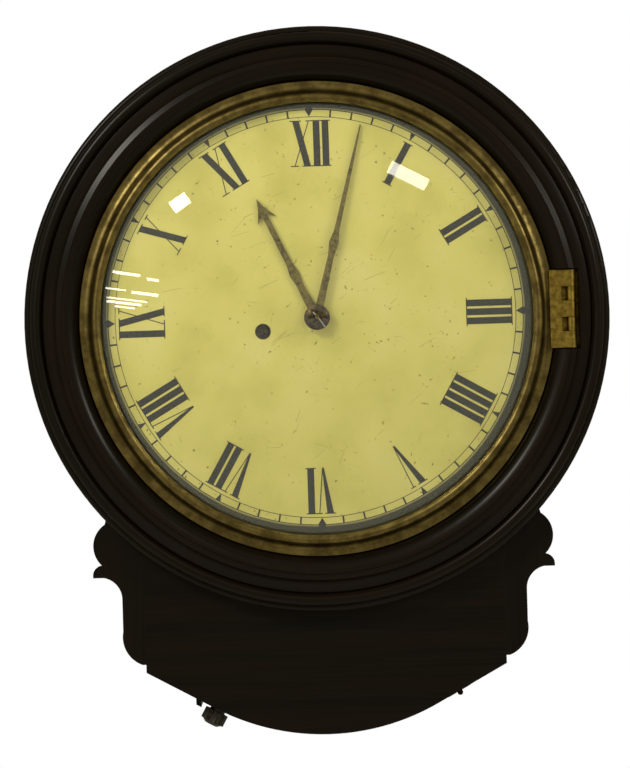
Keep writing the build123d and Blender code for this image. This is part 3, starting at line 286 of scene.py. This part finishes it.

# %% [markdown]
# The dial is iron, primed and painted cream. Age has yellowed it, and the paint has fine freckles of rust and
# cloudy patches some 40 mm across. Beyond the minute ring, under the bezel, it is darkened by painted shade,
# the bezel's shadow. The paint is a dielectric with a soft sheen. The clouds are one low noise, and the
# freckles are the small cells of a fine noise that pass a high threshold.

# %% Yellowed dial paint
# millimetres from the bezel's centre to the painter's, across and up
OFF_CENTRE = (-1.0, 1.0)
# metres from the painter's centre to where the band of painted shade begins and where it is full, and its
# unevenness
RIM_SHADE_BEGINS = 0.1448
RIM_SHADE_FULL = 0.1468
RIM_SHADE_UNEVEN = 0.0016


def dial_paint():
    """Yellowed paint with clouds, freckles and a band of painted shade round its edge."""
    material, tree, shader = new_material("oil paint yellowed", Roughness=0.42, Specular_IOR_Level=0.3)
    place = add(tree, "ShaderNodeTexCoord").outputs["Object"]
    clouds = add(tree, "ShaderNodeTexNoise", values={"Scale": 24.0, "Detail": 4.0}, links={"Vector": place})
    paint = ramp(tree, clouds.outputs["Fac"], [(0.3, "#b7ac56"), (0.5, "#c4b964"), (0.72, "#cbbf72")])
    freckles = add(tree, "ShaderNodeTexNoise", values={"Scale": 420.0, "Detail": 2.0}, links={"Vector": place})
    spots = add(tree, "ShaderNodeMapRange", values={"From Min": 0.68, "From Max": 0.76},
                links={"Value": freckles.outputs["Fac"]})
    speckled = add(tree, "ShaderNodeMix", {"data_type": "RGBA"}, {"B": linear("#6d5426")},
                   {"Factor": spots.outputs["Result"], "A": paint})
    # painted shade: the bezel's shadow darkens the paint beyond the minute ring
    from_centre = add(tree, "ShaderNodeVectorMath", {"operation": "SUBTRACT"},
                      {1: (OFF_CENTRE[0] / 1000, 0, OFF_CENTRE[1] / 1000)}, {0: place})
    parts = add(tree, "ShaderNodeSeparateXYZ", links={"Vector": from_centre.outputs["Vector"]})
    flat = add(tree, "ShaderNodeCombineXYZ", links={"X": parts.outputs["X"], "Y": parts.outputs["Z"]})
    radius = add(tree, "ShaderNodeVectorMath", {"operation": "LENGTH"}, links={0: flat.outputs["Vector"]})
    uneven = add(tree, "ShaderNodeMath", {"operation": "MULTIPLY_ADD"}, {1: RIM_SHADE_UNEVEN},
                 {0: clouds.outputs["Fac"], 2: radius.outputs["Value"]})
    rim_shade = add(tree, "ShaderNodeMapRange", values={"From Min": RIM_SHADE_BEGINS, "From Max": RIM_SHADE_FULL},
              links={"Value": uneven.outputs["Value"]})
    darkened = add(tree, "ShaderNodeMix", {"data_type": "RGBA"}, {"B": linear("#2c280e")},
                 {"Factor": rim_shade.outputs["Result"], "A": speckled.outputs["Result"]})
    tree.links.new(darkened.outputs["Result"], shader.inputs["Base Color"])
    orange_peel = add(tree, "ShaderNodeBump", values={"Strength": 0.08, "Distance": 0.0002},
                      links={"Height": freckles.outputs["Fac"]})
    tree.links.new(orange_peel.outputs["Normal"], shader.inputs["Normal"])
    return material


finish(["dial_plate"], dial_paint())
print("dial painted")

# %% [markdown]
# The glass is old crown or sheet glass sagged to a shallow dome. Refraction would keep the lamps' light from
# the dial, so rays from lamps pass straight through and every other ray sees real glass.

# %% Domed glass
def clock_glass():
    """Old window glass that lets the lamps' light through."""
    material, tree, shader = new_material("soda glass sagged", Roughness=0.0, IOR=1.5, Transmission_Weight=1.0)
    shader.inputs["Base Color"].default_value = linear("#f4f6ea")
    clear = add(tree, "ShaderNodeBsdfTransparent")
    rays = add(tree, "ShaderNodeLightPath")
    mixed = add(
        tree, "ShaderNodeMixShader",
        links={0: rays.outputs["Is Shadow Ray"], 1: shader.outputs["BSDF"], 2: clear.outputs["BSDF"]},
    )
    output = tree.nodes["Material Output"]
    tree.links.new(mixed.outputs["Shader"], output.inputs["Surface"])
    return material


finish(["bezel_glass"], clock_glass())
print("glass done")

# %% [markdown]
# ## The painted figures
# The numerals are painted, so they have no thickness to speak of. Each stroke is a flat outline, cut into
# short lengths and laid on the dome of the dial 0.06 mm in front of the paint. That keeps them crisp at any
# size, which an image wouldn't be. The dome's radius follows from the width and the rise of the dial's cap.

# %% Laying outlines on the dome
DOME_EDGE = 147.0
DIAL_RIM = 108.2
DOME_RISE = 8.0
BALL = (DOME_EDGE ** 2 + DOME_RISE ** 2) / (2 * DOME_RISE)
PAINT_MM = 0.06
# degrees that the painter's upright is turned from the bezel's
PAINT_TURN = -0.3


def on_dial(x, z, lift=PAINT_MM):
    """The point of the dial's front at x and z, in metres."""
    x, z = x + OFF_CENTRE[0], z + OFF_CENTRE[1]
    radius = hypot(x, z)
    depth = DIAL_RIM if radius > DOME_EDGE else DIAL_RIM + DOME_RISE - BALL + sqrt(BALL ** 2 - radius ** 2)
    return (x / 1000, -(depth + lift) / 1000, z / 1000)


def placed(x, y, bearing):
    """A figure's own x and y, its y from the dial's centre, turned to a clockwise bearing from twelve."""
    turn = radians(bearing + PAINT_TURN)
    return x * cos(turn) + y * sin(turn), -x * sin(turn) + y * cos(turn)


def between(start, end, share):
    """The point at a share of the way from one corner to another."""
    return start[0] + (end[0] - start[0]) * share, start[1] + (end[1] - start[1]) * share


def stroke(faces, corners, bearing, lengths=8):
    """Add a four-cornered stroke: two corners at one end, then two at the other."""
    a, b, c, d = corners
    for n in range(lengths):
        low, high = n / lengths, (n + 1) / lengths
        ends = [between(a, d, low), between(b, c, low), between(b, c, high), between(a, d, high)]
        faces.append([on_dial(*placed(x, y, bearing)) for x, y in ends])


def painted(name, faces, material, body="case"):
    """One mesh piece from separate faces, riding on a body."""
    points = [corner for face in faces for corner in face]
    order = []
    for face in faces:
        start = 4 * len(order)
        order.append(tuple(range(start, start + len(face))))
    mesh = bpy.data.meshes.new(name)
    mesh.from_pydata(points, [], order)
    mesh.update()
    # a painted face looks out of the dial
    for polygon in mesh.polygons:
        if polygon.normal.y > 0:
            polygon.flip()
    mesh.materials.append(material)
    piece = bpy.data.objects.new(name, mesh)
    bpy.context.scene.collection.objects.link(piece)
    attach(piece, body)


black = plain("black oil paint", "#17140d", Roughness=0.4, Specular_IOR_Level=0.35)
print("dome radius", round(BALL), "mm")

# %% [markdown]
# Roman figures on English dials are drawn with the foot to the centre and hair lines, the serifs, along their
# ends. A figure is a row of letters: I is one thick bar, V a thick bar and a hair line that meet at the foot,
# X a thick bar crossed by a hair line. Their widths were measured on the photograph in millimetres.

# %% Roman figures
FOOT = 104.6
HEAD = 136.8
BAR = 4.7
GAP = 1.5
HAIR = 0.75
# A bar is its left corner and its width at the foot, then at the head. A serif is its left and right ends and
# its lower edge. All lie in millimetres from the letter's left side.
LETTERS = {
    "I": {
        "wide": BAR,
        "bars": [(0, BAR, 0, BAR)],
        "serifs": [(-1.3, BAR + 1.3, HEAD - HAIR), (-1.3, BAR + 1.3, FOOT)],
    },
    "V": {
        "wide": 12.4,
        "bars": [(6.988, 1.4, 0.8, BAR), (7.688, 0.6, 10.5, 0.7)],
        "serifs": [(-0.6, 7, HEAD - HAIR), (8.8, 12.8, HEAD - HAIR)],
    },
    "X": {
        "wide": 14.2,
        "bars": [(9.1, BAR, 1.4, BAR), (2.1, 0.7, 12.6, 0.7)],
        "serifs": [(-0.4, 7.6, HEAD - HAIR), (10.8, 14.8, HEAD - HAIR), (-0.4, 5.4, FOOT), (7.8, 15.2, FOOT)],
    },
}
FIGURES = ["XII", "I", "II", "III", "IIII", "V", "VI", "VII", "VIII", "IX", "X", "XI"]
HOUR_DEGREES = 30
SERIF_LENGTHS = 3


def roman(faces, text, bearing):
    """Add a whole figure, centred on its hour."""
    width = sum(LETTERS[letter]["wide"] for letter in text) + GAP * (len(text) - 1)
    x = -width / 2
    for letter in text:
        shape = LETTERS[letter]
        for foot, foot_width, head, head_width in shape["bars"]:
            low, high = x + foot, x + head
            corners = [(low, FOOT), (low + foot_width, FOOT), (high + head_width, HEAD), (high, HEAD)]
            stroke(faces, corners, bearing)
        for left, right, edge in shape["serifs"]:
            start, end = x + left, x + right
            corners = [(start, edge), (start, edge + HAIR), (end, edge + HAIR), (end, edge)]
            stroke(faces, corners, bearing, SERIF_LENGTHS)
        x += shape["wide"] + GAP


figure_faces = []
for hour, text in enumerate(FIGURES):
    roman(figure_faces, text, hour * HOUR_DEGREES)
painted("hour_figures", figure_faces, black)
print("figures drawn with", len(figure_faces), "short strokes")

# %% [markdown]
# Round them runs the minute ring: two hair lines with a bar for each minute between them. Lozenges on the
# outer line mark 12, 3, 6 and 9 o'clock, and small points mark the other hours.

# %% Minute ring
RING_OUTER = 144.3
RING_INNER = 139.2
OUTER_LINE = 0.6
INNER_LINE = 0.45
MINUTE_HALF = 0.62
# an hour's point, on the outer line and where it ends on the inner one
POINT_HALF = 1.9
POINT_END_HALF = 0.25
LOZENGE_HALF = 2.9
LOZENGE_OUTWARD = 4.8
LOZENGE_INWARD = 4.9
# a lozenge's tip is this wide, so that no two corners of a face coincide
LOZENGE_TIP = 0.01
MINUTE_DEGREES = 6
# the hair lines lie a little under the bars that cross them
LINE_LIFT = PAINT_MM * 0.6


def ring_line(faces, radius, width):
    """A thin circle, a degree at a time."""
    for n in range(360):
        a, b = radians(n), radians(n + 1)
        corners = [(radius, a), (radius + width, a), (radius + width, b), (radius, b)]
        faces.append([on_dial(r * sin(t), r * cos(t), LINE_LIFT) for r, t in corners])


def lozenge(faces, bearing):
    """Add a lozenge on the outer line, a quarter at a time."""
    for side in (-1, 1):
        for reach in (LOZENGE_OUTWARD, -LOZENGE_INWARD):
            tip = RING_OUTER + reach
            corners = [(0, RING_OUTER), (side * LOZENGE_HALF, RING_OUTER), (side * LOZENGE_TIP, tip), (0, tip)]
            stroke(faces, corners, bearing, 4)


def ring_bar(faces, start, start_half, end, end_half, bearing):
    """Add a bar between two radii, with its half width at each."""
    corners = [(-start_half, start), (start_half, start), (end_half, end), (-end_half, end)]
    stroke(faces, corners, bearing, 3)


ring_faces = []
ring_line(ring_faces, RING_OUTER - 0.3, OUTER_LINE)
ring_line(ring_faces, RING_INNER - 0.2, INNER_LINE)
for minute in range(60):
    bearing = minute * MINUTE_DEGREES
    if minute % 15 == 0:
        lozenge(ring_faces, bearing)
    elif minute % 5 == 0:
        ring_bar(ring_faces, RING_OUTER, POINT_HALF, RING_INNER, POINT_END_HALF, bearing)
    else:
        ring_bar(ring_faces, RING_INNER, MINUTE_HALF, RING_OUTER, MINUTE_HALF, bearing)
painted("minute_ring", ring_faces, black)
print("minute ring drawn with", len(ring_faces), "faces")

# %% [markdown]
# The paint is scratched where keys, fingers and cloths have passed for years: hair-thin brown lines, up to
# 16 mm long, most of them slanting the same way. They are laid on the dial as the figures are.

# %% Scratches in the paint
scratch_paint = plain("paint rubbed to the primer", "#8f7c40", Roughness=0.6)
SCRATCHES = 60
SCRATCH_PARTS = 4
# millimetres from the centre: the nearest, and how far beyond it the farthest lies
SCRATCH_NEAREST = 20
SCRATCH_SPREAD = 95
# under 1, this draws the scratches away from the centre
SCRATCH_OUTWARD = 0.7
SCRATCH_LENGTHS = (3, 16)
SCRATCH_WIDTHS = (0.12, 0.3)
# the usual slant in degrees, and how far it wanders
SCRATCH_SLANT = (35, 25)
SCRATCH_LIFT = PAINT_MM * 0.5
chance = random.Random(7)
scratch_faces = []
for n in range(SCRATCHES):
    radius = SCRATCH_NEAREST + SCRATCH_SPREAD * chance.random() ** SCRATCH_OUTWARD
    bearing = chance.uniform(0, 360)
    x, z = radius * sin(radians(bearing)), radius * cos(radians(bearing))
    length = chance.uniform(*SCRATCH_LENGTHS)
    lean = radians(chance.gauss(*SCRATCH_SLANT))
    width = chance.uniform(*SCRATCH_WIDTHS)
    along = (cos(lean), sin(lean))
    side = (-along[1] * width / 2, along[0] * width / 2)
    for part in range(SCRATCH_PARTS):
        start, end = (length * edge / SCRATCH_PARTS for edge in (part, part + 1))
        corners = [
            (x + along[0] * reach + turn * side[0], z + along[1] * reach + turn * side[1])
            for reach, turn in ((start, -1), (start, 1), (end, 1), (end, -1))
        ]
        scratch_faces.append([on_dial(px, pz, SCRATCH_LIFT) for px, pz in corners])
painted("dial_scratches", scratch_faces, scratch_paint)
print("scratches:", SCRATCHES)

# %% [markdown]
# ## The stage
# A pale floor lies well below the clock, which hangs on nothing here, so that its back can be seen too. The
# ground is white where the camera sees it, past the clock or through the glass. For lighting and reflections
# it is warmer and much dimmer.

# %% Floor and world
FLOOR = {"x": (-2.0, 2.0), "y": (-1.2, 1.6), "z": -1.0}
floor_mesh = bpy.data.meshes.new("floor")
(west, east), (near, far) = FLOOR["x"], FLOOR["y"]
floor_mesh.from_pydata(
    [(x, y, FLOOR["z"]) for x, y in ((west, near), (east, near), (east, far), (west, far))], [], [(0, 1, 2, 3)]
)
floor = bpy.data.objects.new("floor", floor_mesh)
bpy.context.scene.collection.objects.link(floor)
floor_paint = plain("pale floor", "#e6e6e4", Roughness=0.9)
floor_mesh.materials.append(floor_paint)

world = bpy.data.worlds.new("studio")
bpy.context.scene.world = world
world.use_nodes = True
tree = world.node_tree
soft = tree.nodes["Background"]
soft.inputs["Color"].default_value = linear("#efe6c8")
soft.inputs["Strength"].default_value = 0.28
white = add(tree, "ShaderNodeBackground", values={"Color": linear("#ffffff"), "Strength": 1.0})
rays = add(tree, "ShaderNodeLightPath")
seen = add(tree, "ShaderNodeMath", {"operation": "MAXIMUM"},
           links={0: rays.outputs["Is Camera Ray"], 1: rays.outputs["Is Transmission Ray"]})
ground = add(tree, "ShaderNodeMixShader",
             links={0: seen.outputs["Value"], 1: soft.outputs["Background"], 2: white.outputs["Background"]})
tree.links.new(ground.outputs["Shader"], tree.nodes["World Output"].inputs["Surface"])
print("floor and world ready")

# %% [markdown]
# ## The camera
# The photograph is square on to the dial, 630 by 768 pixels, at 0.695 mm a pixel on the bezel, and the clock
# leans 1.6 degrees anticlockwise in it. A long lens far away keeps the perspective as flat. One function
# turns a place in the picture into a place on the bezel's plane, in metres.

# %% Camera
# pixels: the picture's size, and the column and row of the bezel's centre
PICTURE = (630, 768)
BEZEL_CENTRE = (317.0, 318.5)
# metres: the bezel's front before the wall, a pixel on it, and the camera's distance from it
BEZEL_FRONT = 0.112
SCALE = 0.695 / 1000
DISTANCE = 4.0
LEAN = radians(1.6)


def at_pixel(column, row):
    """x and z on the bezel's plane of a place in the picture."""
    aside, above = (column - BEZEL_CENTRE[0]) * SCALE, (BEZEL_CENTRE[1] - row) * SCALE
    return aside * cos(LEAN) + above * sin(LEAN), above * cos(LEAN) - aside * sin(LEAN)


camera_data = bpy.data.cameras.new("camera")
camera_data.sensor_width = 36.0
camera_data.lens = camera_data.sensor_width * DISTANCE / (PICTURE[1] * SCALE)
camera_data.clip_end = 30
camera = bpy.data.objects.new("camera", camera_data)
aim_x, aim_z = at_pixel(PICTURE[0] / 2, PICTURE[1] / 2)
eye = Vector((aim_x, -BEZEL_FRONT - DISTANCE, aim_z))
camera.matrix_world = (
    Matrix.Translation(eye) @ Matrix.Rotation(radians(90), 4, "X") @ Matrix.Rotation(-LEAN, 4, "Z")
)
bpy.context.scene.collection.objects.link(camera)
bpy.context.scene.camera = camera
bpy.context.scene.view_settings.view_transform = "Standard"
print("lens", round(camera_data.lens, 1), "mm")

# %% [markdown]
# Two windows light the room: one on the left and above, which draws the highlights on the mouldings, and a
# weaker one on the right. The domed glass works as a convex mirror, so the small bright marks in it are taken
# for lamps and blinds behind the photographer. Each is placed by where it shows in the picture: the line of
# sight is turned about the glass's own slope there, and the lamp stands 2.2 m along it.

# %% Lamps
def lamp(name, place, target, size, power, colour="#fffaf0"):
    """A rectangular area lamp that faces a point."""
    data = bpy.data.lights.new(name, "AREA")
    data.shape = "RECTANGLE"
    data.size, data.size_y = size
    data.energy = power
    data.color = linear(colour)[:3]
    holder = bpy.data.objects.new(name, data)
    holder.location = place
    holder.rotation_euler = (Vector(target) - Vector(place)).to_track_quat("-Z", "Y").to_euler()
    bpy.context.scene.collection.objects.link(holder)
    return holder


# metres: the radius of the glass's dome, the place of its crown, and the mirrored lamps' distance from it
GLASS_BALL = 0.650
GLASS_CROWN = -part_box("bezel_glass")[0][1]
MIRRORED = 2.2


def seen_in_glass(name, column, row, wide, high, radiance, tilt):
    """A lamp whose reflection in the glass is the given number of pixels wide and high."""
    x, z = at_pixel(column, row)
    middle = Vector((0, GLASS_BALL - GLASS_CROWN, 0))
    y = middle.y - sqrt(GLASS_BALL ** 2 - x ** 2 - z ** 2)
    point = Vector((x, y, z))
    away = (point - eye).normalized().reflect((point - middle).normalized())
    # a convex mirror of focal length half its radius makes far things this much smaller
    shrink = (GLASS_BALL / 2) / (MIRRORED + GLASS_BALL / 2)
    size = (wide * SCALE / shrink, high * SCALE / shrink)
    holder = lamp(name, point + away * MIRRORED, point, size, radiance * pi * size[0] * size[1])
    holder.rotation_euler.rotate_axis("Z", radians(tilt))


lamp("window_left", (-1.5, -1.9, 1.3), (0, 0, 0), (0.35, 0.5), 20)
lamp("window_right", (2.3, -1.8, 1.0), (0, 0, 0), (0.5, 0.5), 15)
# a mark's column and row in the picture, its width and height there, its radiance, and its tilt in degrees
MARKS = {
    "ceiling_lamp": (180, 203, 20, 14, 18, 35),
    "far_window": (408, 176, 44, 14, 9, -30),
}
for name, mark in MARKS.items():
    seen_in_glass(name, *mark)
# the slats of a blind, with the first four of those measures
BLINDS = [(128, 274, 27, 3), (153, 280, 13, 3), (118, 289.5, 17, 1.8), (145, 294, 29, 3), (129, 300, 40, 1.8),
          (126, 303.5, 34, 2.5), (125, 307.5, 21, 1.8)]
BLIND_RADIANCE = 14
BLIND_TILT = -8
for n, slat in enumerate(BLINDS):
    seen_in_glass("blind_%d" % n, *slat, BLIND_RADIANCE, BLIND_TILT)
print("lamps ready")
